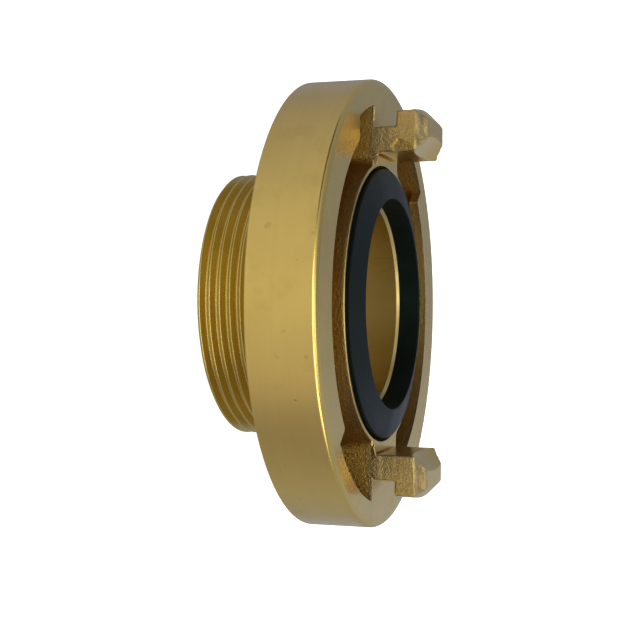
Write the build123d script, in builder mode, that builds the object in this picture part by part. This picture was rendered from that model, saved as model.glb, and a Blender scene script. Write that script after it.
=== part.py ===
from build123d import *
import os
from math import asin, atan, cos, degrees, radians, sin, tan

# Half of a symmetrical two-lug quarter-turn hose coupling in cast brass: a flange ring with two
# hooked lugs, a neck that holds the sealing ring, and a spigot with a parallel pipe thread.
# The part stands on the spigot's end, which is z = 0, with the waterway along +Z.
# The lugs stand at +Y and -Y. Lengths are in millimetres and angles in degrees.

os.makedirs("parts", exist_ok=True)

# Chamfers of the waterway's two ends
bore_end_chamfer = 1.0
bore_mouth_chamfer = 0.6

# Spigot and its male thread, 2 inch parallel pipe thread of 11 turns to the inch, and the relief
# groove at the shoulder that the thread runs out into
spigot_length = 18.75
thread_crest_radius = 29.807
thread_depth = 1.479
thread_pitch = 2.309
thread_root_width = 0.385
thread_flank_angle = 27.5
thread_foot_sink = 0.1
thread_start_angle = 50.0
thread_lead_chamfer = 0.6
thread_relief_width = 3.5
thread_relief_depth = 0.2

# Lugs with their hooks: the distance between their flat inner faces sets the coupling's size
lug_distance = 66.0
lug_width = 20.4
stem_thickness = 6.65
stem_root_fillet = 0.6
hook_depth = 3.25
hook_rear_height = 5.15
hook_front_height = 11.55
hook_outer_bevel = 2.3
hook_inner_bevel = 3.8
hook_side_bevel_width = 3.3
hook_side_bevel_height = 2.2
hook_side_round = 0.8

# Flange ring, with the pockets behind its face and the wall around them
flange_thickness = 14.75
flange_back_break = 0.25
ring_wall = 5.52
face_bevel_width = 1.55
face_bevel_height = 0.4
pocket_depth = 11.8
pocket_clearance = 1.45
pocket_floor_chamfer = 1.0

# Ramped lips that the other half's hooks slide under, turned by half a turn from each other
lip_clearance = 0.35
lip_thickness_entry = 2.2
lip_thickness_stop = 4.1
entry_gap_angle = 36.7
stop_gap = 10.8
lip_corner_fillet = 0.7

# Neck, drafted as cast, and the relief that the facing of its rim leaves at the foot of each lug
neck_gap = 0.2
neck_wall = 1.7
neck_draft_angle = 5.2
rim_edge_chamfer = 0.2
facing_relief_width = 1.2
facing_relief_height = 0.9

# Seat of the sealing ring in the neck
seat_rim_overhang = 0.4
seat_rim_height = 2.2
seat_groove_width = 5.1
seat_groove_depth = 6.5
seat_ledge_depth = 2.6
seat_ledge_width = 2.9

# Sealing ring
seal_clearance = 0.1
seal_rim_gap = 0.6
seal_lip_gap = 0.5
seal_shoulder_height = 0.7
seal_lip_height = 2.35
seal_edge_chamfer = 0.25

# Heights that follow from the sizes above
thread_end_z = spigot_length - thread_relief_width
face_z = spigot_length + flange_thickness
front_z = face_z + hook_front_height
pocket_floor_z = face_z - pocket_depth
seat_rim_z = face_z - seat_rim_height
seat_ledge_z = face_z - seat_ledge_depth
seat_groove_z = face_z - seat_groove_depth
bore_mouth_z = seat_ledge_z - bore_mouth_chamfer
seal_foot_top_z = seat_rim_z - seal_clearance

# Radii that follow, outwards from the lugs' inner faces
lug_inner = lug_distance / 2
lug_half_width = lug_width / 2
facing_relief_radius = lug_inner + facing_relief_width
stem_outer_radius = lug_inner + stem_thickness
lip_radius = stem_outer_radius + lip_clearance
hook_outer_radius = stem_outer_radius + hook_depth
pocket_outer_radius = hook_outer_radius + pocket_clearance
flange_radius = pocket_outer_radius + ring_wall

# Radii that follow, inwards from the lugs to the waterway
neck_radius = lug_inner - neck_gap
seat_groove_radius = neck_radius - neck_wall
seat_rim_radius = seat_groove_radius - seat_rim_overhang
seat_groove_inner_radius = seat_groove_radius - seat_groove_width
seat_ledge_inner_radius = seat_groove_inner_radius - seat_ledge_width
bore_radius = seat_ledge_inner_radius - bore_mouth_chamfer
seal_foot_radius = seat_groove_radius - seal_clearance
seal_neck_radius = seat_rim_radius - seal_rim_gap
seal_step_radius = seat_groove_inner_radius + seal_clearance
seal_foot_inner_radius = seat_ledge_inner_radius + seal_clearance
seal_lip_radius = seat_ledge_inner_radius + seal_lip_gap
thread_root_radius = thread_crest_radius - thread_depth
thread_relief_radius = thread_root_radius - thread_relief_depth

# Depth by which shapes that are joined reach into each other, and cutters reach past what they cut
embed = 1.0


def section(points):
    """Closed outline of a turned shape, from (radius, height) points."""
    return Polyline(*points, close=True)


# Thread ridge: one thread form, square to a helix on the root cylinder and a little sunk in it, swept
# from a turn below the spigot's end to a turn above the thread's. Its crest has the width that the
# flat root and the flanks leave of the pitch
flank_slope = tan(radians(thread_flank_angle))
root_half = (thread_pitch - thread_root_width) / 2
crest_half = root_half - thread_depth * flank_slope
foot_half = root_half + thread_foot_sink * flank_slope

with BuildPart() as thread_ridge:
    with BuildLine():
        helix = Helix(thread_pitch, thread_end_z + 2 * thread_pitch, thread_root_radius,
                      center=(0, 0, -thread_pitch))
    with BuildSketch(Plane(origin=helix @ 0, x_dir=(1, 0, 0), z_dir=helix % 0)):
        with BuildLine():
            Polyline((-thread_foot_sink, -foot_half),
                     (thread_depth, -crest_half),
                     (thread_depth, crest_half),
                     (-thread_foot_sink, foot_half), close=True)
        make_face()
    sweep(path=helix, is_frenet=True)

# Threaded end: the ridge on a core that is longer than it, both faced off, with a chamfer at each end
core_overrun = 2 * thread_pitch
crest_start_radius = thread_crest_radius - thread_lead_chamfer
crest_end_z = thread_end_z - thread_lead_chamfer

with BuildPart() as threaded_end:
    with BuildSketch(Plane.XY.offset(-core_overrun)):
        Circle(thread_root_radius)
    extrude(amount=thread_end_z + 2 * core_overrun)
    with Locations(Rotation(0, 0, thread_start_angle)):
        add(thread_ridge.part)
    with BuildSketch(Plane.XY, Plane.XY.offset(thread_end_z + core_overrun + embed)):
        Circle(thread_crest_radius + embed)
    extrude(amount=-core_overrun - embed, mode=Mode.SUBTRACT)
    with BuildSketch(Plane.XZ):
        with BuildLine():
            section([(crest_start_radius - embed, -embed),
                     (thread_crest_radius + embed, thread_lead_chamfer + embed),
                     (thread_crest_radius + embed, -embed)])
        make_face()
        with BuildLine():
            section([(crest_start_radius - embed, thread_end_z + embed),
                     (thread_crest_radius + embed, crest_end_z - embed),
                     (thread_crest_radius + embed, thread_end_z + embed)])
        make_face()
    revolve(axis=Axis.Z, mode=Mode.SUBTRACT)

# Pocket: the annulus between the neck and the wall, stopped at each lug, as the space to remove
pocket_top_z = face_z + embed
neck_top_radius = neck_radius - (pocket_depth + embed) * tan(radians(neck_draft_angle))

with BuildPart() as pocket_space:
    with BuildSketch(Plane.XZ):
        with BuildLine():
            section([(neck_radius, pocket_floor_z),
                     (pocket_outer_radius, pocket_floor_z),
                     (pocket_outer_radius, pocket_top_z),
                     (neck_top_radius, pocket_top_z)])
        make_face()
    revolve(axis=Axis.Z)
    with BuildSketch(Plane.XY.offset(pocket_floor_z)):
        Rectangle(lug_width, 2 * flange_radius)
    extrude(amount=pocket_depth + embed, mode=Mode.SUBTRACT)
    chamfer(pocket_space.edges().group_by(Axis.Z)[0], length=pocket_floor_chamfer)

# Lip on the -X side: its stop end is parallel to the lug's flank, its entry end is radial, and its
# underside is a plane that rises from the entry to the stop
lip_stop_x = lug_half_width + stop_gap
lip_stop_angle = degrees(asin(lip_stop_x / lip_radius))
lug_flank_angle = degrees(asin(lug_half_width / pocket_outer_radius))
lip_entry_angle = 180 - lug_flank_angle - entry_gap_angle
lip_middle_angle = (lip_stop_angle + lip_entry_angle) / 2
lip_half_turn = (lip_entry_angle - lip_stop_angle) / 2
lip_middle_thickness = (lip_thickness_entry + lip_thickness_stop) / 2
lip_run = 2 * lip_radius * sin(radians(lip_half_turn))
ramp_angle = degrees(atan((lip_thickness_stop - lip_thickness_entry) / lip_run))
entry_x = -sin(radians(lip_entry_angle))
entry_y = cos(radians(lip_entry_angle))
far_side = 2 * flange_radius

ramp_plane = (Plane.XY.offset(face_z - lip_middle_thickness)
              .rotated((0, 0, lip_middle_angle))
              .rotated((0, ramp_angle, 0)))

with BuildPart() as lip:
    with BuildSketch(Plane.XY.offset(pocket_floor_z)) as lip_plan:
        Circle(pocket_outer_radius + embed)
        Circle(lip_radius, mode=Mode.SUBTRACT)
        with BuildLine():
            Polyline((-lip_stop_x, far_side),
                     (-lip_stop_x, lip_stop_x * entry_y / -entry_x),
                     (far_side * entry_x, far_side * entry_y),
                     (-far_side, far_side * entry_y),
                     (-far_side, far_side), close=True)
        make_face(mode=Mode.INTERSECT)
        fillet(lip_plan.vertices().sort_by_distance((0, 0))[:2], radius=lip_corner_fillet)
    extrude(amount=pocket_depth)
    split(bisect_by=ramp_plane, keep=Keep.TOP)

# Lug at +Y: a turned section cut to the lug's width, with its inner face flat
stem_corner = (stem_outer_radius, face_z + hook_rear_height)

with BuildPart() as lug:
    with BuildSketch(Plane.XZ) as lug_section:
        with BuildLine():
            section([(lug_inner - embed, face_z - embed),
                     (stem_outer_radius, face_z - embed),
                     stem_corner,
                     (hook_outer_radius, face_z + hook_rear_height),
                     (hook_outer_radius, front_z - hook_outer_bevel),
                     (hook_outer_radius - hook_outer_bevel, front_z),
                     (lug_inner + hook_inner_bevel, front_z),
                     (lug_inner - embed, front_z - hook_inner_bevel - embed)])
        make_face()
        fillet(lug_section.vertices().sort_by_distance(stem_corner)[0], radius=stem_root_fillet)
    revolve(axis=Axis.Z)
    with BuildSketch(Plane.XZ.offset(-lug_inner)) as lug_front:
        with BuildLine():
            Polyline((-lug_half_width, face_z - embed),
                     (lug_half_width, face_z - embed),
                     (lug_half_width, front_z - hook_side_bevel_height),
                     (lug_half_width - hook_side_bevel_width, front_z),
                     (hook_side_bevel_width - lug_half_width, front_z),
                     (-lug_half_width, front_z - hook_side_bevel_height), close=True)
        make_face()
        fillet(lug_front.vertices().group_by(Axis.Y)[1], radius=hook_side_round)
    extrude(amount=-flange_radius, mode=Mode.INTERSECT)

# Body: the flange disc and the thread's relief groove behind it, to which the rest is added
with BuildPart() as coupling_body:
    with BuildSketch(Plane.XZ):
        with BuildLine():
            section([(0, thread_end_z),
                     (thread_relief_radius, thread_end_z),
                     (thread_relief_radius, spigot_length),
                     (flange_radius - flange_back_break, spigot_length),
                     (flange_radius, spigot_length + flange_back_break),
                     (flange_radius, face_z - face_bevel_height),
                     (flange_radius - face_bevel_width, face_z),
                     (0, face_z)])
        make_face()
    revolve(axis=Axis.Z)
    add(pocket_space.part, mode=Mode.SUBTRACT)
    # Outer edge of the neck's rim: the circles on the face are, outwards, the neck, pockets and ring
    face_circles = coupling_body.edges().filter_by(GeomType.CIRCLE).group_by(Axis.Z)[-1]
    chamfer(face_circles.group_by(SortBy.RADIUS)[0], length=rim_edge_chamfer)
    with PolarLocations(0, 2):
        add(lip.part)
        add(lug.part)
    add(threaded_end.part)
    # Waterway, with the seat of the sealing ring: ledge, undercut groove and rim
    with BuildSketch(Plane.XZ):
        with BuildLine():
            section([(0, -embed),
                     (bore_radius + bore_end_chamfer + embed, -embed),
                     (bore_radius, bore_end_chamfer),
                     (bore_radius, bore_mouth_z),
                     (seat_ledge_inner_radius, seat_ledge_z),
                     (seat_groove_inner_radius, seat_ledge_z),
                     (seat_groove_inner_radius, seat_groove_z),
                     (seat_groove_radius, seat_groove_z),
                     (seat_groove_radius, seat_rim_z),
                     (seat_rim_radius, seat_rim_z),
                     (seat_rim_radius, face_z + embed),
                     (0, face_z + embed)])
        make_face()
    revolve(axis=Axis.Z, mode=Mode.SUBTRACT)
    # Relief at the foot of the lugs, turned with the rim
    with BuildSketch(Plane.XY.offset(face_z)):
        Circle(facing_relief_radius)
    extrude(amount=facing_relief_height, mode=Mode.SUBTRACT)

coupling_body.part.label = "coupling_body"
export_step(coupling_body.part, "parts/coupling_body.step")

# Sealing ring: a foot held under the rim, and a proud conical face that rises to the inner lip
with BuildPart() as sealing_ring:
    with BuildSketch(Plane.XZ) as seal_section:
        with BuildLine():
            section([(seal_foot_inner_radius, seat_ledge_z),
                     (seal_lip_radius, face_z + seal_lip_height),
                     (seal_neck_radius, face_z + seal_shoulder_height),
                     (seal_neck_radius, seal_foot_top_z),
                     (seal_foot_radius, seal_foot_top_z),
                     (seal_foot_radius, seat_groove_z),
                     (seal_step_radius, seat_groove_z),
                     (seal_step_radius, seat_ledge_z)])
        make_face()
        chamfer(seal_section.vertices().sort_by(Axis.Y)[-2:], length=seal_edge_chamfer)
    revolve(axis=Axis.Z)

sealing_ring.part.label = "sealing_ring"
export_step(sealing_ring.part, "parts/sealing_ring.step")
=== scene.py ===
import bmesh
import bpy
import math
from mathutils import Matrix, Vector, noise


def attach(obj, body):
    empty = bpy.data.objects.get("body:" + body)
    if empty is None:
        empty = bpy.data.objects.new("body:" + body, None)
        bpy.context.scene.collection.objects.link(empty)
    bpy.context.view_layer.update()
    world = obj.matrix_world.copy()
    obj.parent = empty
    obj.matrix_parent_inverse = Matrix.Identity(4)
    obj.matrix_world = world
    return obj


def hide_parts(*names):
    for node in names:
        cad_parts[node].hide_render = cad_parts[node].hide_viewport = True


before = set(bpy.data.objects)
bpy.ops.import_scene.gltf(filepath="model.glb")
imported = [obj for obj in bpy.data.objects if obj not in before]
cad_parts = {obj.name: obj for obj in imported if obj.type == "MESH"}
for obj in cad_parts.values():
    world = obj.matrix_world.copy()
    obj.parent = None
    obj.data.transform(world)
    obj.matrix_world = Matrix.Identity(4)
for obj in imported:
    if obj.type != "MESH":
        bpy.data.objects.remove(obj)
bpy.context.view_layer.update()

# Half of a symmetrical two-lug quarter-turn hose coupling. Sizes are in millimetres and heights are
# above the spigot's end, as in part.py, but the neck's rim is 0.1 mm thinner and most chamfers are
# rounds. Meshes are built in millimetres and scaled at the end.
MM = 0.001
SEGMENTS = 256
TINY = 1e-9

# Depth by which shapes that are joined or cut reach past each other
EMBED = 1.0

# Waterway
BORE_RADIUS = 22.5
BORE_CHAMFER = 1.0
MOUTH_CHAMFER = 0.6

# Spigot and thread
SPIGOT_LENGTH = 18.75
THREAD_END = 15.25
CREST_RADIUS = 29.807
ROOT_RADIUS = 28.328
UNDERCUT_RADIUS = 28.128
PITCH = 2.309
ROOT_WIDTH = 0.385
CREST_ROUND = 0.317
LEAD_CHAMFER = 0.6
THREAD_FLANK = math.radians(27.5)
THREAD_START = math.radians(50.0)

# Flange ring
FLANGE_RADIUS = 49.87
FACE = 33.5
BEVEL_WIDTH = 1.55
BEVEL_HEIGHT = 0.4
SHOULDER_ROUND = 0.5
BACK_ROUND = 0.3
BEVEL_OUTER_ROUND = 0.9
BEVEL_INNER_ROUND = 0.8

# Pockets and the drafted neck between them
FLOOR = 21.7
FLOOR_ROUND = 1.2
POCKET_RADIUS = 44.35
NECK_RADIUS = 32.8
NECK_DRAFT = math.tan(math.radians(5.2))
NECK_FILLET = 1.4
RIM_ROUND = 0.12

# Lips
LIP_RADIUS = 40.0
LIP_ENTRY_THICKNESS = 2.2
LIP_STOP_THICKNESS = 4.1
LIP_ENTRY = math.radians(130.0)
LIP_STOP_X = 21.0
LIP_ROUND = 0.7

# Lugs
LUG_INNER = 33.0
LUG_HALF_WIDTH = 10.2
STEM_RADIUS = 39.65
HOOK_RADIUS = 42.9
HOOK_REAR = FACE + 5.15
FRONT = FACE + 11.55
OUTER_BEVEL = 2.3
INNER_BEVEL = 3.8
SIDE_BEVEL_WIDTH = 3.3
SIDE_BEVEL_HEIGHT = 2.2
SIDE_ROUND = 0.8
SIDE_FRONT_ROUND = 0.35
FLANK_ROUND = 0.35
# Rounds of a lug's section, from its foot outwards, over the hook and back along the front
LUG_ROUNDS = [0, 0, 0.6, 0.4, 0.45, 0.45, 0.3, 0.25]
RELIEF_RADIUS = 34.2
RELIEF_HEIGHT = 0.9
SHELF = FACE + RELIEF_HEIGHT

# Seat of the sealing ring
RIM_RADIUS = 30.8
RIM_HEIGHT = 2.2
RIM_CHAMFER = 0.15
GROOVE_RADIUS = 31.1
GROOVE_INNER = 26.0
GROOVE_DEPTH = 6.5
LEDGE_DEPTH = 2.6
LEDGE_RADIUS = 23.1

# Sealing ring
SEAL_CLEARANCE = 0.1
SEAL_RIM_GAP = 0.6
SEAL_LIP_GAP = 0.5
SEAL_SHOULDER_HEIGHT = 0.7
SEAL_LIP_HEIGHT = 2.35

# Flake missing from the +Y lug's flank: its outline as (depth, y, z), and the point its facets meet in
FLAKE = [(0.55, 34.0, 37.5), (0.62, 35.75, 38.8), (0.35, 35.3, 40.0), (0.06, 34.6, 41.4),
         (0.03, 33.3, 42.9), (0.25, LUG_INNER - 0.6, 42.3), (0.75, LUG_INNER - 0.6, 38.0)]
FLAKE_MIDDLE = (0.42, 34.3, 39.7)

# Burrs that the facing tool pushed up at the lugs' feet: walls on the flanks as (y, z) outlines, and
# slivers as a path and a thickness
BURR_WALLS = [[(29.8, 33.3), (33.3, 33.3), (33.3, 34.5), (32.7, 34.65), (32.1, 34.3), (31.5, 34.6),
               (30.8, 34.3), (30.2, 34.05), (29.9, 33.6)],
              [(-29.9, 33.3), (-30.1, 33.7), (-30.9, 34.05), (-31.6, 33.9), (-32.3, 34.15), (-33.2, 34.4),
               (-33.3, 33.3)]]
SLIVERS = [([(-11.5, 31.6, FACE + 0.1), (-10.5, 32.2, FACE + 0.5), (-9.2, 32.7, SHELF),
             (-7.2, 33.0, SHELF + 0.1)], 0.24),
           ([(-10.2, 43.2, FACE), (-10.2, 41.5, FACE), (-10.2, 39.6, FACE)], 0.14)]

# Small dents on the flange's outside: degrees from the +Y lug towards -X, height and radius
DENTS = [(73.3, 22.9, 0.9), (75.1, 32.2, 0.5), (96.9, 26.7, 0.6), (102.6, 31.2, 0.55), (102.5, 25.2, 0.7)]


# Mesh helpers

def add_object(name, mesh):
    obj = bpy.data.objects.new(name, mesh)
    bpy.context.scene.collection.objects.link(obj)
    return obj


def make_object(name, verts, faces):
    """Object from points and faces, with its faces turned outwards."""
    mesh = bpy.data.meshes.new(name)
    mesh.from_pydata([tuple(v) for v in verts], [], faces)
    obj = add_object(name, mesh)

    def turn_outwards(bm):
        bmesh.ops.recalc_face_normals(bm, faces=bm.faces)
        if bm.calc_volume(signed=True) < 0:
            bmesh.ops.reverse_faces(bm, faces=bm.faces)

    edit_mesh(mesh, turn_outwards)
    return obj


def edit_mesh(mesh, work):
    """Runs work on the mesh as a bmesh."""
    bm = bmesh.new()
    bm.from_mesh(mesh)
    work(bm)
    bm.to_mesh(mesh)
    bm.free()


def triangulate(bm):
    bmesh.ops.triangulate(bm, faces=bm.faces)


def clean(bm):
    """Takes out the slivers that cutting leaves."""
    bmesh.ops.remove_doubles(bm, verts=bm.verts, dist=0.003)
    bmesh.ops.dissolve_degenerate(bm, edges=bm.edges, dist=0.003)


def arc(start, end, steps):
    """Vectors from start to end, turned in equal steps."""
    sweep = start.angle(end)
    out = []
    for k in range(steps + 1):
        t = k / steps
        out.append((start * math.sin((1 - t) * sweep) + end * math.sin(t * sweep)) / math.sin(sweep))
    return out


def round_corners(points, radii, steps=3):
    """Closed outline whose corners become arcs, each of its own radius."""
    out = []
    for i, radius in enumerate(radii):
        here = Vector(points[i])
        before = Vector(points[i - 1]) - here
        after = Vector(points[(i + 1) % len(points)]) - here
        if radius <= 0:
            out.append(here)
            continue
        half = before.angle(after) / 2
        reach = min(radius / math.tan(half), before.length * 0.48, after.length * 0.48)
        radius = reach * math.tan(half)
        before.normalize()
        after.normalize()
        centre = here + (before + after).normalized() * (radius / math.sin(half))
        start = here + before * reach - centre
        end = here + after * reach - centre
        out += [centre + spoke for spoke in arc(start, end, steps)]
    return out


def loft(name, rows):
    """Closed solid through rows of points; each row is a closed outline of as many points."""
    n = len(rows[0])
    faces = []
    for i in range(len(rows) - 1):
        for j in range(n):
            k = (j + 1) % n
            faces.append((i * n + j, i * n + k, (i + 1) * n + k, (i + 1) * n + j))
    faces.append(tuple(reversed(range(n))))
    faces.append(tuple((len(rows) - 1) * n + j for j in range(n)))
    return make_object(name, [p for row in rows for p in row], faces)


def circle(radius, z):
    step = 2 * math.pi / SEGMENTS
    return [(radius * math.cos(step * i), radius * math.sin(step * i), z) for i in range(SEGMENTS)]


def lathe(name, profile):
    """Solid turned from an open profile of (radius, height), with a flat disc at each end."""
    return loft(name, [circle(r, z) for r, z in profile])


def ring(name, outline):
    """Ring turned from a closed outline of (radius, height)."""
    n = len(outline)
    verts, faces = [], []
    for i in range(SEGMENTS):
        angle = 2 * math.pi * i / SEGMENTS
        verts += [(r * math.cos(angle), r * math.sin(angle), z) for r, z in outline]
        a, b = i * n, ((i + 1) % SEGMENTS) * n
        faces += [(a + j, b + j, b + (j + 1) % n, a + (j + 1) % n) for j in range(n)]
    return make_object(name, verts, faces)


def combine(target, tool, operation):
    """Joins the tool to the target or cuts it out, and deletes the tool."""
    modifier = target.modifiers.new("combine", "BOOLEAN")
    modifier.operation = operation
    modifier.solver = "EXACT"
    modifier.object = tool
    graph = bpy.context.evaluated_depsgraph_get()
    mesh = bpy.data.meshes.new_from_object(target.evaluated_get(graph))
    target.modifiers.clear()
    old, target.data = target.data, mesh
    bpy.data.meshes.remove(old)
    bpy.data.objects.remove(tool)


def half_turn(obj):
    """Copy of an object after half a turn about the waterway."""
    twin = add_object(obj.name, obj.data.copy())
    twin.data.transform(Matrix.Rotation(math.pi, 4, "Z"))
    return twin


def smooth_by_angle(obj, limit):
    """Smooth shading across edges up to a limit in degrees; large faces keep their own direction."""
    obj.data.shade_smooth()
    obj.data.set_sharp_from_angle(angle=math.radians(limit))
    modifier = obj.modifiers.new("weights", "WEIGHTED_NORMAL")
    modifier.keep_sharp = True
    graph = bpy.context.evaluated_depsgraph_get()
    mesh = bpy.data.meshes.new_from_object(obj.evaluated_get(graph))
    obj.modifiers.clear()
    obj.data = mesh


# Brass body

def make_flange():
    section = [(0, THREAD_END - EMBED), (UNDERCUT_RADIUS, THREAD_END - EMBED),
               (UNDERCUT_RADIUS, SPIGOT_LENGTH), (FLANGE_RADIUS, SPIGOT_LENGTH),
               (FLANGE_RADIUS, FACE - BEVEL_HEIGHT), (FLANGE_RADIUS - BEVEL_WIDTH, FACE), (0, FACE)]
    rounds = [0, 0, SHOULDER_ROUND, BACK_ROUND, BEVEL_OUTER_ROUND, BEVEL_INNER_ROUND, 0]
    profile = round_corners(section, rounds, steps=8)
    return lathe("coupling_casting", profile[1:-1])


def thread_form():
    """One turn of the thread as (height, radius) points, from root to root."""
    foot = (PITCH - ROOT_WIDTH) / 2
    half = foot - (CREST_RADIUS - ROOT_RADIUS) * math.tan(THREAD_FLANK)
    # The last two points only close the outline while its corners are rounded
    outline = [(-PITCH / 2, ROOT_RADIUS), (-foot, ROOT_RADIUS), (-half, CREST_RADIUS), (half, CREST_RADIUS),
               (foot, ROOT_RADIUS), (PITCH / 2, ROOT_RADIUS), (0, ROOT_RADIUS - 9)]
    return round_corners(outline, [0, CREST_ROUND, CREST_ROUND, CREST_ROUND, CREST_ROUND, 0, 0])[:-2]


def make_spigot():
    """Threaded rod: its columns of points follow the helix, and its ends are cut flat."""
    form = thread_form()
    turns_below = 2
    turns = int(THREAD_END / PITCH) + 5
    m = len(form)
    rows = turns * m + 1
    verts, faces = [], []
    for i in range(SEGMENTS):
        part = i / SEGMENTS
        angle = 2 * math.pi * part + THREAD_START
        for j in range(rows):
            k, q = divmod(j, m)
            z, r = form[q]
            verts.append((r * math.cos(angle), r * math.sin(angle), z + PITCH * (k - turns_below + part)))
    for i in range(SEGMENTS):
        ahead, lift = ((i + 1) * rows, 0) if i + 1 < SEGMENTS else (0, m)
        faces += [(i * rows + j, ahead + j + lift, ahead + j + lift + 1, i * rows + j + 1)
                  for j in range(rows - 1 - lift)]
    mesh = bpy.data.meshes.new("spigot")
    mesh.from_pydata(verts, [], faces)

    def cut_ends(bm):
        for z, keep in ((0.0, 1), (THREAD_END, -1)):
            everything = bm.verts[:] + bm.edges[:] + bm.faces[:]
            cut = bmesh.ops.bisect_plane(bm, geom=everything, plane_co=(0, 0, z), plane_no=(0, 0, keep),
                                         clear_inner=True)["geom_cut"]
            bmesh.ops.contextual_create(bm, geom=[e for e in cut if isinstance(e, bmesh.types.BMEdge)])
        bmesh.ops.recalc_face_normals(bm, faces=bm.faces)

    edit_mesh(mesh, cut_ends)
    obj = add_object("spigot", mesh)
    lead = [(CREST_RADIUS - LEAD_CHAMFER - EMBED, -EMBED), (CREST_RADIUS + EMBED, -EMBED),
            (CREST_RADIUS + EMBED, LEAD_CHAMFER + EMBED)]
    combine(obj, ring("lead", lead), "DIFFERENCE")
    combine(obj, ring("lead", [(r, THREAD_END - z) for r, z in lead]), "DIFFERENCE")
    return obj


def make_pocket():
    """Space between neck and wall; a cast fillet joins the neck to the lugs' flanks."""
    above = FACE + 1.5
    fillet_rows, rows_between = 6, 106
    near = [NECK_FILLET * (k / fillet_rows) ** 1.6 for k in range(fillet_rows + 1)]
    length = NECK_RADIUS * (math.pi - 2 * math.asin(LUG_HALF_WIDTH / NECK_RADIUS))
    middle = [near[-1] + (length - 2 * near[-1]) * k / rows_between for k in range(1, rows_between)]
    rows = []
    for along in near + middle + [length - u for u in reversed(near)]:
        short = NECK_FILLET - min(NECK_FILLET, along, length - along)
        neck = NECK_RADIUS + NECK_FILLET - math.sqrt(NECK_FILLET ** 2 - short ** 2)
        top = neck - (FACE - FLOOR) * NECK_DRAFT
        outline = [(neck, FLOOR), (POCKET_RADIUS, FLOOR), (POCKET_RADIUS, above), (top - 1.0, above),
                   (top - RIM_ROUND, FACE), (top + RIM_ROUND * NECK_DRAFT, FACE - RIM_ROUND)]
        row = []
        for r, z in round_corners(outline, [FLOOR_ROUND, FLOOR_ROUND, 0, 0, 0.1, 0.15], steps=5):
            first = math.asin(LUG_HALF_WIDTH / r)
            angle = first + (math.pi - 2 * first) * along / length
            row.append((-r * math.sin(angle), r * math.cos(angle), z))
        rows.append(row)
    return loft("pocket", rows)


def make_lip():
    """Lip on the -X side; its underside is a plane that rises from the entry to the stop."""
    outer_radius = POCKET_RADIUS + 0.6
    steps = 80
    stop = math.asin(LIP_STOP_X / LIP_RADIUS)
    outer_stop = math.asin(LIP_STOP_X / outer_radius)
    inner = [(LIP_RADIUS, stop + (LIP_ENTRY - stop) * k / steps) for k in range(steps + 1)]
    outer = [(outer_radius, LIP_ENTRY + (outer_stop - LIP_ENTRY) * k / steps) for k in range(steps + 1)]
    plan = [(-r * math.sin(a), r * math.cos(a)) for r, a in inner + outer]
    # The two inner corners are rounded, and the arc's points beside them make room for that
    kept = [i for i in range(len(plan)) if i not in (1, steps - 1)]
    rounds = [LIP_ROUND if i in (0, steps) else 0 for i in kept]
    plan = round_corners([plan[i] for i in kept], rounds, steps=4)
    middle = (stop + LIP_ENTRY) / 2
    run = 2 * LIP_RADIUS * math.sin((LIP_ENTRY - stop) / 2)
    slope = (LIP_STOP_THICKNESS - LIP_ENTRY_THICKNESS) / run
    to_entry = Vector((-math.cos(middle), -math.sin(middle)))
    under = FACE - (LIP_STOP_THICKNESS + LIP_ENTRY_THICKNESS) / 2
    low = [(p[0], p[1], under + slope * p.dot(to_entry)) for p in plan]
    return loft("lip", [low, [(p[0], p[1], FACE) for p in plan]])


def inset(points, amounts):
    """Moves each edge of a closed outline inwards; the outline runs anticlockwise."""
    count = len(points)
    lines = []
    for i in range(count):
        a, b = Vector(points[i]), Vector(points[(i + 1) % count])
        direction = (b - a).normalized()
        normal = Vector((-direction.y, direction.x))
        lines.append((a + normal * amounts[i], direction))
    out = []
    for i in range(count):
        (p, d), (q, e) = lines[i - 1], lines[i]
        cross = d.x * e.y - d.y * e.x
        out.append(p + d * ((q - p).x * e.y - (q - p).y * e.x) / cross)
    return out


def lug_stations():
    """Places across the lug, each as x and how far the section there is drawn in."""
    flat = LUG_HALF_WIDTH - FLANK_ROUND
    middle = 6.0
    half = []
    for k in range(4, 0, -1):
        turned = math.pi / 2 * k / 4
        half.append((flat + FLANK_ROUND * math.sin(turned), FLANK_ROUND * (1 - math.cos(turned))))
    half += [(flat - (flat - middle) * k / 16, 0) for k in range(17)]
    half += [(middle - 0.5 * k, 0) for k in range(1, 12)]
    return half + [(0.0, 0)] + [(-x, drawn_in) for x, drawn_in in reversed(half)]


def height_at(outline, x):
    """Height at x of the side bevel's outline, whose points run inwards from the flank."""
    outside = [p for p in outline if p[0] >= x - TINY]
    inside = [p for p in outline if p[0] < x - TINY]
    if not inside:
        return FRONT
    a = outside[-1] if outside else outline[0]
    b = inside[0]
    if abs(a[0] - b[0]) < TINY:
        return a[1]
    return a[1] + (b[1] - a[1]) * (a[0] - x) / (a[0] - b[0])


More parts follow.
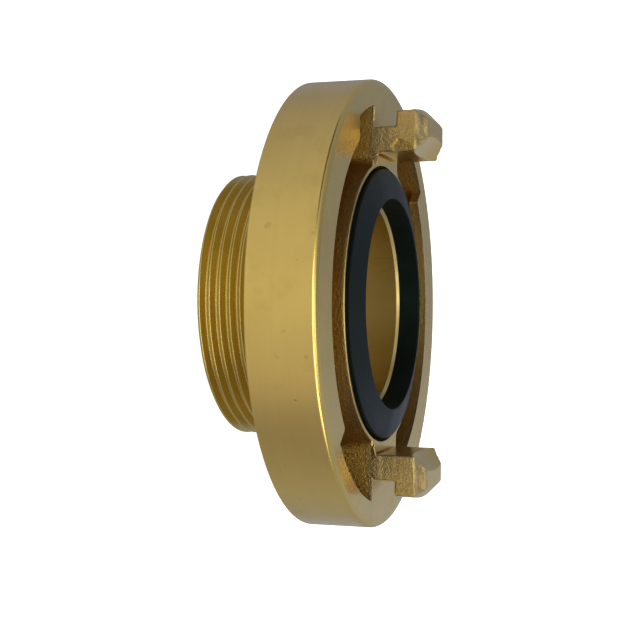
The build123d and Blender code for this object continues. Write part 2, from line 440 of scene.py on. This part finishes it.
def lug_section(x, drawn_in, top):
    """Cross-section of the lug at x, as (y, z) points with rounded corners."""
    def y_at(radius):
        return math.sqrt(radius * radius - x * x)

    foot = FACE - EMBED
    drop = FRONT - top
    inner_corner = math.sqrt(LUG_INNER * LUG_INNER + x * x)
    bevel_foot = min(FRONT - (LUG_INNER + INNER_BEVEL - inner_corner), top - 0.02)
    section = [(LUG_INNER, foot), (y_at(STEM_RADIUS), foot), (y_at(STEM_RADIUS), HOOK_REAR),
               (y_at(HOOK_RADIUS), HOOK_REAR), (y_at(HOOK_RADIUS), FRONT - OUTER_BEVEL),
               (y_at(HOOK_RADIUS - OUTER_BEVEL + drop), top),
               (max(y_at(LUG_INNER + INNER_BEVEL - drop), LUG_INNER + 0.03), top), (LUG_INNER, bevel_foot)]
    section = inset(section, [0, drawn_in, drawn_in, drawn_in, drawn_in, 0, drawn_in, drawn_in])
    if section[5].y < section[4].y + 0.05:
        # The outer bevel ends here, so its two corners meet
        middle = (section[4] + section[5]) / 2
        section[4] = middle + Vector((0.01, -0.02))
        section[5] = middle + Vector((-0.01, 0.02))
    return round_corners(section, LUG_ROUNDS, steps=3)


def make_lug():
    """Hooked lug at +Y, as cross-sections from one flank to the other."""
    side = round_corners([(LUG_HALF_WIDTH, FACE), (LUG_HALF_WIDTH, FRONT - SIDE_BEVEL_HEIGHT),
                          (LUG_HALF_WIDTH - SIDE_BEVEL_WIDTH, FRONT), (0, FRONT)],
                         [0, SIDE_ROUND, SIDE_FRONT_ROUND, 0], steps=5)[1:-1]
    # The straight edges are divided, so that the casting's waves have points to move
    divisions = {0: 3, 1: 12, 5: 8, 9: 10, 13: 6, 17: 8, 21: 9, 25: 16}
    rows = []
    for x, drawn_in in lug_stations():
        section = lug_section(x, drawn_in, height_at(side, abs(x)))
        row = []
        for j, a in enumerate(section):
            b = section[(j + 1) % len(section)]
            pieces = divisions.get(j, 1)
            row += [(x, *(a + (b - a) * k / pieces)) for k in range(pieces)]
        rows.append(row)
    return loft("lug", rows)


def ripple(obj, seed):
    """Uneven cast flanks and side bevels of a lug; the waves only go inwards."""
    start_z, start_x = FACE + 1.2, 7.2
    normal = Vector((SIDE_BEVEL_HEIGHT, 0, SIDE_BEVEL_WIDTH)).normalized()
    shift = Vector((seed * 7.3, seed * 3.1, seed * 5.7))
    for v in obj.data.vertices:
        across = abs(v.co.x)
        if v.co.z < start_z or across < start_x:
            continue
        fade_in = min(1, (v.co.z - start_z) / 1.5) * min(1, (across - start_x) / 0.8)
        lump = noise.noise(v.co * 0.42 + shift) * 0.22 + noise.noise(v.co * 1.3 + shift) * 0.10
        out = normal.copy()
        out.x *= 1 if v.co.x > 0 else -1
        v.co += out * min(lump - 0.12, 0) * fade_in


def make_flake():
    """What is missing from the +Y lug's flank: a steep edge, from which facets rise to the flank."""
    x = -LUG_HALF_WIDTH
    n = len(FLAKE)
    verts = [(x - EMBED, y, z) for _, y, z in FLAKE] + [(x + depth, y, z) for depth, y, z in FLAKE]
    depth, y, z = FLAKE_MIDDLE
    verts.append((x + depth, y, z))
    faces = [tuple(range(n))] + [(i, (i + 1) % n, n + (i + 1) % n, n + i) for i in range(n)]
    faces += [(n + i, n + (i + 1) % n, 2 * n) for i in range(n)]
    return make_object("flake", verts, faces)


def make_burr_wall(outline):
    x = -LUG_HALF_WIDTH
    return loft("burr_wall", [[(x - 0.03, y, z) for y, z in outline], [(x + 0.3, y, z) for y, z in outline]])


def curve_through(path, steps):
    """Smooth curve through the points of a path."""
    path = [Vector(p) for p in path]
    out = []
    for i in range(len(path) - 1):
        a, b = path[max(i - 1, 0)], path[i]
        c, d = path[i + 1], path[min(i + 2, len(path) - 1)]
        for k in range(steps):
            t = k / steps
            out.append(0.5 * (2 * b + (c - a) * t + (2 * a - 5 * b + 4 * c - d) * t * t
                              + (3 * b - a - 3 * c + d) * t ** 3))
    out.append(path[-1])
    return out


def make_sliver(path, thickness):
    """Curled sliver of brass along a path of points, thin at both ends."""
    smooth = curve_through(path, 5)
    rows = []
    for i, here in enumerate(smooth):
        ahead = smooth[min(i + 1, len(smooth) - 1)] - smooth[max(i - 1, 0)]
        side = ahead.cross(Vector((0, 0, 1))).normalized()
        rise = side.cross(ahead).normalized()
        share = i / (len(smooth) - 1)
        swell = 0.12 + 0.88 * math.sin(math.pi * share) ** 0.6
        size = thickness * swell * (1 + 0.5 * noise.noise(here * 1.7))
        rows.append([here + side * size * 0.6 * math.cos(a) + rise * size * math.sin(a)
                     for a in (math.pi * k / 3 for k in range(6))])
    return loft("sliver", rows)


def make_waterway():
    """Space of the waterway, the seal's seat and the rim's opening."""
    ledge = FACE - LEDGE_DEPTH
    groove = FACE - GROOVE_DEPTH
    rim = FACE - RIM_HEIGHT
    return lathe("waterway", [
        (BORE_RADIUS + BORE_CHAMFER + EMBED, -EMBED), (BORE_RADIUS, BORE_CHAMFER),
        (BORE_RADIUS, ledge - MOUTH_CHAMFER), (LEDGE_RADIUS, ledge), (GROOVE_INNER, ledge),
        (GROOVE_INNER, groove), (GROOVE_RADIUS, groove), (GROOVE_RADIUS, rim), (RIM_RADIUS, rim),
        (RIM_RADIUS, FACE - RIM_CHAMFER), (RIM_RADIUS + RIM_CHAMFER + EMBED, FACE + EMBED)])


def build_body():
    body = make_flange()
    combine(body, make_spigot(), "UNION")
    pocket = make_pocket()
    other_pocket = half_turn(pocket)
    combine(body, pocket, "DIFFERENCE")
    combine(body, other_pocket, "DIFFERENCE")
    lip = make_lip()
    other_lip = half_turn(lip)
    combine(body, lip, "UNION")
    combine(body, other_lip, "UNION")
    lug = make_lug()
    other_lug = half_turn(lug)
    for seed, half in enumerate((lug, other_lug), 1):
        ripple(half, seed)
        edit_mesh(half.data, triangulate)
        combine(body, half, "UNION")
    combine(body, make_waterway(), "DIFFERENCE")
    combine(body, lathe("relief", [(RELIEF_RADIUS, FACE), (RELIEF_RADIUS, SHELF)]), "DIFFERENCE")
    edit_mesh(body.data, clean)
    combine(body, make_flake(), "DIFFERENCE")
    for outline in BURR_WALLS:
        combine(body, make_burr_wall(outline), "UNION")
    for path, thickness in SLIVERS:
        combine(body, make_sliver(path, thickness), "UNION")
    edit_mesh(body.data, clean)
    return body


# Sealing ring

def build_seal():
    ledge = FACE - LEDGE_DEPTH
    groove = FACE - GROOVE_DEPTH
    foot_top = FACE - RIM_HEIGHT - SEAL_CLEARANCE
    neck = RIM_RADIUS - SEAL_RIM_GAP
    foot = GROOVE_RADIUS - SEAL_CLEARANCE
    step = GROOVE_INNER + SEAL_CLEARANCE
    outline = [(LEDGE_RADIUS + SEAL_CLEARANCE, ledge),
               (LEDGE_RADIUS + SEAL_LIP_GAP, FACE + SEAL_LIP_HEIGHT), (neck, FACE + SEAL_SHOULDER_HEIGHT),
               (neck, foot_top), (foot, foot_top), (foot, groove), (step, groove), (step, ledge)]
    return ring("rubber_seal", round_corners(outline, [0.2, 0.25, 0.3, 0, 0, 0, 0, 0], steps=4))


body = build_body()
seal = build_seal()


# Node helpers

def tree_of(name):
    material = bpy.data.materials.new(name)
    material.use_nodes = True
    tree = material.node_tree
    shader = tree.nodes["Principled BSDF"]
    return material, tree, shader


def node(tree, kind, inputs=None, **settings):
    """New node with its settings and inputs, each a value or another node's socket."""
    made = tree.nodes.new(kind)
    for key, value in settings.items():
        setattr(made, key, value)
    for key, value in (inputs or {}).items():
        if isinstance(value, bpy.types.NodeSocket):
            tree.links.new(value, made.inputs[key])
        else:
            made.inputs[key].default_value = value
    return made


def maths(tree, operation, *values):
    return node(tree, "ShaderNodeMath", dict(enumerate(values)), operation=operation).outputs[0]


def product(tree, a, b):
    return maths(tree, "MULTIPLY", a, b)


def spread(tree, value, low, high, to_low=0.0, to_high=1.0):
    """Value between low and high, carried over smoothly to another range."""
    return node(tree, "ShaderNodeMapRange", {0: value, 1: low, 2: high, 3: to_low, 4: to_high},
                interpolation_type="SMOOTHSTEP").outputs[0]


def mixed(tree, factor, a, b):
    """Mix of two colours, each a socket or a colour."""
    a, b = (v if isinstance(v, bpy.types.NodeSocket) else (*v, 1) for v in (a, b))
    return node(tree, "ShaderNodeMix", {0: factor, 6: a, 7: b}, data_type="RGBA").outputs[2]


def tinted(color, red, green, blue):
    return color[0] * red, color[1] * green, color[2] * blue


def vector(tree, x, y, z):
    return node(tree, "ShaderNodeCombineXYZ", {0: x, 1: y, 2: z}).outputs[0]


def grain(tree, place, scale, detail=3.0, roughness=0.5):
    return node(tree, "ShaderNodeTexNoise", {"Vector": place, "Scale": scale, "Detail": detail,
                                             "Roughness": roughness}).outputs["Fac"]


def millimetres(tree):
    """Place on the object in mm, and its parts."""
    place = node(tree, "ShaderNodeTexCoord").outputs["Object"]
    place = node(tree, "ShaderNodeVectorMath", {0: place, "Scale": 1000.0}, operation="SCALE").outputs[0]
    return place, node(tree, "ShaderNodeSeparateXYZ", {0: place}).outputs


def from_axis(tree, x, y):
    """Distance from the waterway's axis."""
    return maths(tree, "SQRT", maths(tree, "ADD", product(tree, x, x), product(tree, y, y)))


def bumped(tree, shader, height, distance, strength, normal=None):
    """Gives the shader a bump of this height in metres, over a normal of its own if there is one."""
    inputs = {"Height": height, "Distance": distance, "Strength": strength}
    if normal is not None:
        inputs["Normal"] = normal
    bump = node(tree, "ShaderNodeBump", inputs)
    tree.links.new(bump.outputs[0], shader.inputs["Normal"])


def worn_edges(tree, radius):
    """Normal with its edges rounded over, and a mask of those edges."""
    rounded = node(tree, "ShaderNodeBevel", {"Radius": radius}, samples=6).outputs[0]
    flat = node(tree, "ShaderNodeNewGeometry").outputs["Normal"]
    match = node(tree, "ShaderNodeVectorMath", {0: rounded, 1: flat}, operation="DOT_PRODUCT")
    return rounded, spread(tree, match.outputs["Value"], 0.99, 0.86)


def dented(tree, place):
    """1 in the middle of each dent, with ragged outlines."""
    ragged = maths(tree, "MULTIPLY_ADD", grain(tree, place, 1.1), 1.2, -0.6)
    total = 0.0
    for turned_by, height, radius in DENTS:
        angle = math.radians(turned_by)
        middle = (-FLANGE_RADIUS * math.sin(angle), FLANGE_RADIUS * math.cos(angle), height)
        apart = node(tree, "ShaderNodeVectorMath", {0: place, 1: middle}, operation="DISTANCE")
        apart = maths(tree, "ADD", apart.outputs["Value"], ragged)
        total = maths(tree, "ADD", total, spread(tree, apart, radius, radius * 0.3))
    return total


# Materials

def turned_brass(name, color, roughness):
    """Lathe-turned brass: fine rings, handling smudges, a few dents and brighter edges."""
    material, tree, shader = tree_of(name)
    place, (x, y, z) = millimetres(tree)
    along = maths(tree, "ADD", from_axis(tree, x, y), z)
    lane = vector(tree, along, product(tree, x, 0.012), product(tree, y, 0.012))
    rings = grain(tree, lane, 5.0, 4.0, 0.7)
    bands = grain(tree, lane, 0.9, 2.0)
    smudge = grain(tree, place, 0.11, 4.0, 0.6)
    cloud = grain(tree, place, 0.035, 2.0)
    dirt = spread(tree, smudge, 0.50, 0.72)
    specks = maths(tree, "ADD", spread(tree, grain(tree, place, 0.8, 2.0), 0.745, 0.80),
                   product(tree, dented(tree, place), 0.38))
    rounded, edges = worn_edges(tree, 0.00018)
    tone = mixed(tree, spread(tree, cloud, 0.35, 0.65), tinted(color, 0.95, 0.95, 0.95),
                 tinted(color, 1.03, 1.03, 1.03))
    tone = mixed(tree, product(tree, dirt, 0.28), tone, tinted(color, 0.74, 0.72, 0.66))
    tone = mixed(tree, product(tree, spread(tree, bands, 0.35, 0.7), 0.10), tone,
                 tinted(color, 0.8, 0.8, 0.8))
    tone = mixed(tree, product(tree, specks, 0.6), tone, (0.30, 0.20, 0.07))
    tone = mixed(tree, product(tree, edges, 0.5), tone, (0.93, 0.74, 0.34))
    tree.links.new(tone, shader.inputs["Base Color"])
    rough = maths(tree, "ADD", spread(tree, rings, 0.3, 0.7, roughness - 0.03, roughness + 0.05),
                  product(tree, dirt, 0.07))
    tree.links.new(rough, shader.inputs["Roughness"])
    sunk = maths(tree, "ADD", product(tree, specks, 0.5), product(tree, cloud, 0.3))
    bumped(tree, shader, maths(tree, "SUBTRACT", product(tree, rings, 0.05), sunk), 0.00002, 0.7, rounded)
    shader.inputs["Metallic"].default_value = 1
    return material


def bore_brass(name, color, roughness):
    """Wall of the waterway: dulled brass with soft bands along its length, which paint reflection into its
    colour and also vary its roughness.
    """
    material, tree, shader = tree_of(name)
    place, (x, y, z) = millimetres(tree)
    streaks_and_painted_reflection = grain(tree, vector(tree, product(tree, x, 0.3), y, product(tree, z, 0.02)), 0.16, 0.0)
    # The bands paint reflection into the colour: lighter and darker stripes along the bore
    tone = mixed(tree, spread(tree, streaks_and_painted_reflection, 0.3, 0.7, 0.35, 0.9), color, tinted(color, 0.72, 0.66, 0.52))
    tree.links.new(tone, shader.inputs["Base Color"])
    rough = spread(tree, streaks_and_painted_reflection, 0.3, 0.7, roughness - 0.03, roughness + 0.05)
    tree.links.new(rough, shader.inputs["Roughness"])
    bumped(tree, shader, grain(tree, place, 2.2), 0.00003, 0.5)
    shader.inputs["Metallic"].default_value = 1
    return material


def cast_brass(name, color, roughness):
    """Sand-cast brass: a coarse grain that glitters, browner in its hollows, with painted shade along the
    top of the neck.
    """
    material, tree, shader = tree_of(name)
    place, (x, y, z) = millimetres(tree)
    inside = spread(tree, z, FACE, FACE - 2.0)
    # Mask of painted shade along the top of the neck wall, strongest in the middle between the lugs
    neck = product(tree, spread(tree, z, FACE - 0.1, FACE - 0.7),
                   spread(tree, from_axis(tree, x, y), NECK_RADIUS + 0.9, NECK_RADIUS + 0.2))
    neck = product(tree, neck, spread(tree, maths(tree, "ABSOLUTE", y), 20.0, 6.0, 0.45, 1.0))
    coarse = grain(tree, place, 1.5, 3.0, 0.6)
    fine = grain(tree, place, 4.0, 2.0, 0.6)
    patch = grain(tree, place, 0.16)
    rounded, edges = worn_edges(tree, 0.0001)
    relief = maths(tree, "ADD", product(tree, coarse, 0.55), product(tree, fine, 0.45))
    tone = mixed(tree, spread(tree, relief, 0.36, 0.62), tinted(color, 0.74, 0.74, 0.74), color)
    tone = mixed(tree, product(tree, spread(tree, patch, 0.4, 0.7), 0.35), tone,
                 tinted(color, 0.72, 0.66, 0.55))
    # Browner and duller inside the pockets, and painted shade on the top of the neck wall, darkest in its
    # middle between the lugs
    tone = mixed(tree, product(tree, inside, 0.8), tone, tinted(color, 0.97, 0.77, 0.34))
    tone = mixed(tree, product(tree, neck, 0.9), tone, tinted(color, 0.50, 0.29, 0.09))
    tone = mixed(tree, product(tree, edges, 0.15), tone, (0.85, 0.66, 0.30))
    tree.links.new(tone, shader.inputs["Base Color"])
    rough = maths(tree, "ADD", spread(tree, relief, 0.35, 0.65, roughness + 0.10, roughness - 0.08),
                  product(tree, inside, 0.08))
    tree.links.new(rough, shader.inputs["Roughness"])
    bumped(tree, shader, relief, 0.00022, 1.0, rounded)
    shader.inputs["Metallic"].default_value = 1
    return material


def moulded_rubber(name, color, roughness):
    """Black rubber: matte, with faint cloudy bloom."""
    material, tree, shader = tree_of(name)
    place = millimetres(tree)[0]
    bloom = grain(tree, place, 0.12, 4.0)
    tone = mixed(tree, spread(tree, bloom, 0.35, 0.7), color, tinted(color, 1.6, 1.6, 1.6))
    tree.links.new(tone, shader.inputs["Base Color"])
    rough = spread(tree, bloom, 0.3, 0.7, roughness - 0.03, roughness + 0.06)
    tree.links.new(rough, shader.inputs["Roughness"])
    bumped(tree, shader, grain(tree, place, 2.5, 2.0), 0.00002, 0.6)
    shader.inputs["Specular IOR Level"].default_value = 0.18
    shader.inputs["Specular Tint"].default_value = (0.62, 0.95, 0.80, 1)
    return material


turned = turned_brass("brass_turned", (0.80, 0.57, 0.16), 0.22)
# The thread's brass is a darker copy of the turned brass: painted shade on the spigot
thread = turned_brass("brass_thread_painted_shade", (0.69, 0.51, 0.14), 0.24)
cast = cast_brass("brass_cast", (0.45, 0.335, 0.14), 0.36)
bore = bore_brass("brass_bore", (0.76, 0.61, 0.26), 0.30)
rubber = moulded_rubber("seal_rubber", (0.0016, 0.0030, 0.0026), 0.42)


def is_cast(centre, normal):
    """The pockets' floors and walls, and the lugs' flanks and side bevels."""
    radius = math.hypot(centre.x, centre.y)
    rim_edge = NECK_RADIUS - (FACE - FLOOR) * NECK_DRAFT - 0.3
    if centre.z < FLOOR - 0.2 or radius < rim_edge:
        return False
    if centre.z < FACE - 0.05:
        return radius < POCKET_RADIUS + 0.1
    if centre.z > FACE + 0.15:
        return abs(normal.x) > 0.35
    return False


def is_bore(centre):
    return math.hypot(centre.x, centre.y) < BORE_RADIUS + 0.3 and BORE_CHAMFER < centre.z < FACE


def is_thread(centre):
    return centre.z < THREAD_END and math.hypot(centre.x, centre.y) > BORE_RADIUS + BORE_CHAMFER + 0.2


def material_at(centre, normal):
    """Index of the body's material on a face."""
    if is_cast(centre, normal):
        return 1
    if is_bore(centre):
        return 2
    if is_thread(centre):
        return 3
    return 0


body.data.materials.clear()
for material in (turned, cast, bore, thread):
    body.data.materials.append(material)
for face in body.data.polygons:
    face.material_index = material_at(face.center, face.normal)
seal.data.materials.clear()
seal.data.materials.append(rubber)

for obj in (body, seal):
    obj.data.transform(Matrix.Scale(MM, 4))
    smooth_by_angle(obj, 32)

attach(body, "root")
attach(seal, "root")
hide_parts("coupling_body")
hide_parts("sealing_ring")

# Floor
scene = bpy.context.scene
bpy.ops.mesh.primitive_plane_add(size=12)
floor = bpy.context.object
floor.name = "floor"
floor_white, tree, shader = tree_of("floor_white")
shader.inputs["Base Color"].default_value = (0.85, 0.85, 0.85, 1)
shader.inputs["Roughness"].default_value = 1.0
shader.inputs["Specular IOR Level"].default_value = 0
shader.inputs["Emission Color"].default_value = (1, 1, 1, 1)
shader.inputs["Emission Strength"].default_value = 0.9
floor.data.materials.append(floor_white)
# The brass mirrors the world below the horizon, not this sheet
floor.visible_glossy = False
floor.visible_diffuse = False

# Camera, at the photo's place
camera_data = bpy.data.cameras.new("camera")
camera_data.lens = 71.25
camera_data.sensor_width = 36
camera_data.clip_start = 0.01
camera_data.shift_x = -0.0009
camera_data.shift_y = 0.0011
camera = add_object("camera", camera_data)
right = Vector((0.3081149, 0.0047797, 0.9513371))
up = Vector((-0.0014727, 0.9999886, -0.0045472))
back = right.cross(up).normalized()
view = Matrix((right, up, back)).transposed().to_4x4()
view.translation = Vector((-275.95, -3.86, 107.62)) * MM
camera.matrix_world = view
scene.camera = camera

# Room around the object, by compass direction in degrees: brightest behind the camera, cooler beside it
ROOM = [(-180, (0.31, 0.33, 0.38)), (-171, (0.41, 0.45, 0.56)), (-150, (0.38, 0.41, 0.50)),
        (-136, (0.345, 0.365, 0.42)), (-110, (0.385, 0.40, 0.47)), (-90, (0.345, 0.34, 0.42)),
        (-70, (0.31, 0.30, 0.36)), (-55, (0.37, 0.36, 0.41)), (-40, (0.53, 0.51, 0.55)),
        (-20, (0.585, 0.58, 0.60)), (0, (0.68, 0.68, 0.66)), (8, (0.72, 0.72, 0.70)),
        (37, (0.64, 0.64, 0.66)), (65, (0.52, 0.53, 0.60)), (98, (0.41, 0.41, 0.53)),
        (120, (0.33, 0.34, 0.43)), (171, (0.25, 0.28, 0.34)), (180, (0.31, 0.33, 0.38))]

world = bpy.data.worlds.new("world")
scene.world = world
world.use_nodes = True
tree = world.node_tree
towards = node(tree, "ShaderNodeTexCoord").outputs["Generated"]
to_x, to_y, to_z = node(tree, "ShaderNodeSeparateXYZ", {0: towards}).outputs


def fade(value, start, end):
    """1 up to start, falling smoothly to 0 at end."""
    return spread(tree, value, start, end, 1.0, 0.0)


def band(value, middle, start, end):
    """1 around the middle, falling to 0 between these distances from it."""
    return fade(maths(tree, "ABSOLUTE", maths(tree, "SUBTRACT", value, middle)), start, end)


def color_ramp(value, stops):
    ramp = node(tree, "ShaderNodeValToRGB", {0: value})
    elements = ramp.color_ramp.elements
    for position, color in stops[1:-1]:
        elements.new(position).color = (*color, 1)
    elements[0].position, elements[0].color = stops[0][0], (*stops[0][1], 1)
    elements[-1].position, elements[-1].color = stops[-1][0], (*stops[-1][1], 1)
    return ramp.outputs[0]


bearing = maths(tree, "ARCTAN2", to_y, product(tree, to_x, -1.0))
turn = maths(tree, "MULTIPLY_ADD", bearing, 0.5 / math.pi, 0.5)
room = color_ramp(turn, [(angle / 360 + 0.5, color) for angle, color in ROOM])
# White sheet below
room = mixed(tree, fade(to_z, -0.85, -0.5), room, (0.35, 0.36, 0.34))
# Soft light overhead
overhead = product(tree, band(to_x, -0.05, 0.27, 0.40), band(to_y, -0.11, 0.16, 0.28))
overhead = product(tree, overhead, maths(tree, "GREATER_THAN", to_z, 0.3))
room = mixed(tree, overhead, room, (1.7, 1.7, 1.8))
# Long bright window behind the camera, which draws the lines of light on the rounded edges
window = product(tree, band(to_z, 0.56, 0.15, 0.28), band(to_y, -0.24, 0.48, 0.62))
window = product(tree, window, maths(tree, "LESS_THAN", to_x, 0.0))
room = mixed(tree, window, room, (2.8, 2.8, 2.6))
# Dark corner of the ceiling beside that window
corner = product(tree, band(to_z, 0.48, 0.12, 0.25), fade(to_y, 0.65, 0.45))
corner = product(tree, corner, maths(tree, "LESS_THAN", to_x, 0.3))
room = mixed(tree, corner, room, (0.06, 0.055, 0.05))
tree.links.new(room, tree.nodes["Background"].inputs["Color"])
scene.view_settings.view_transform = "Standard"
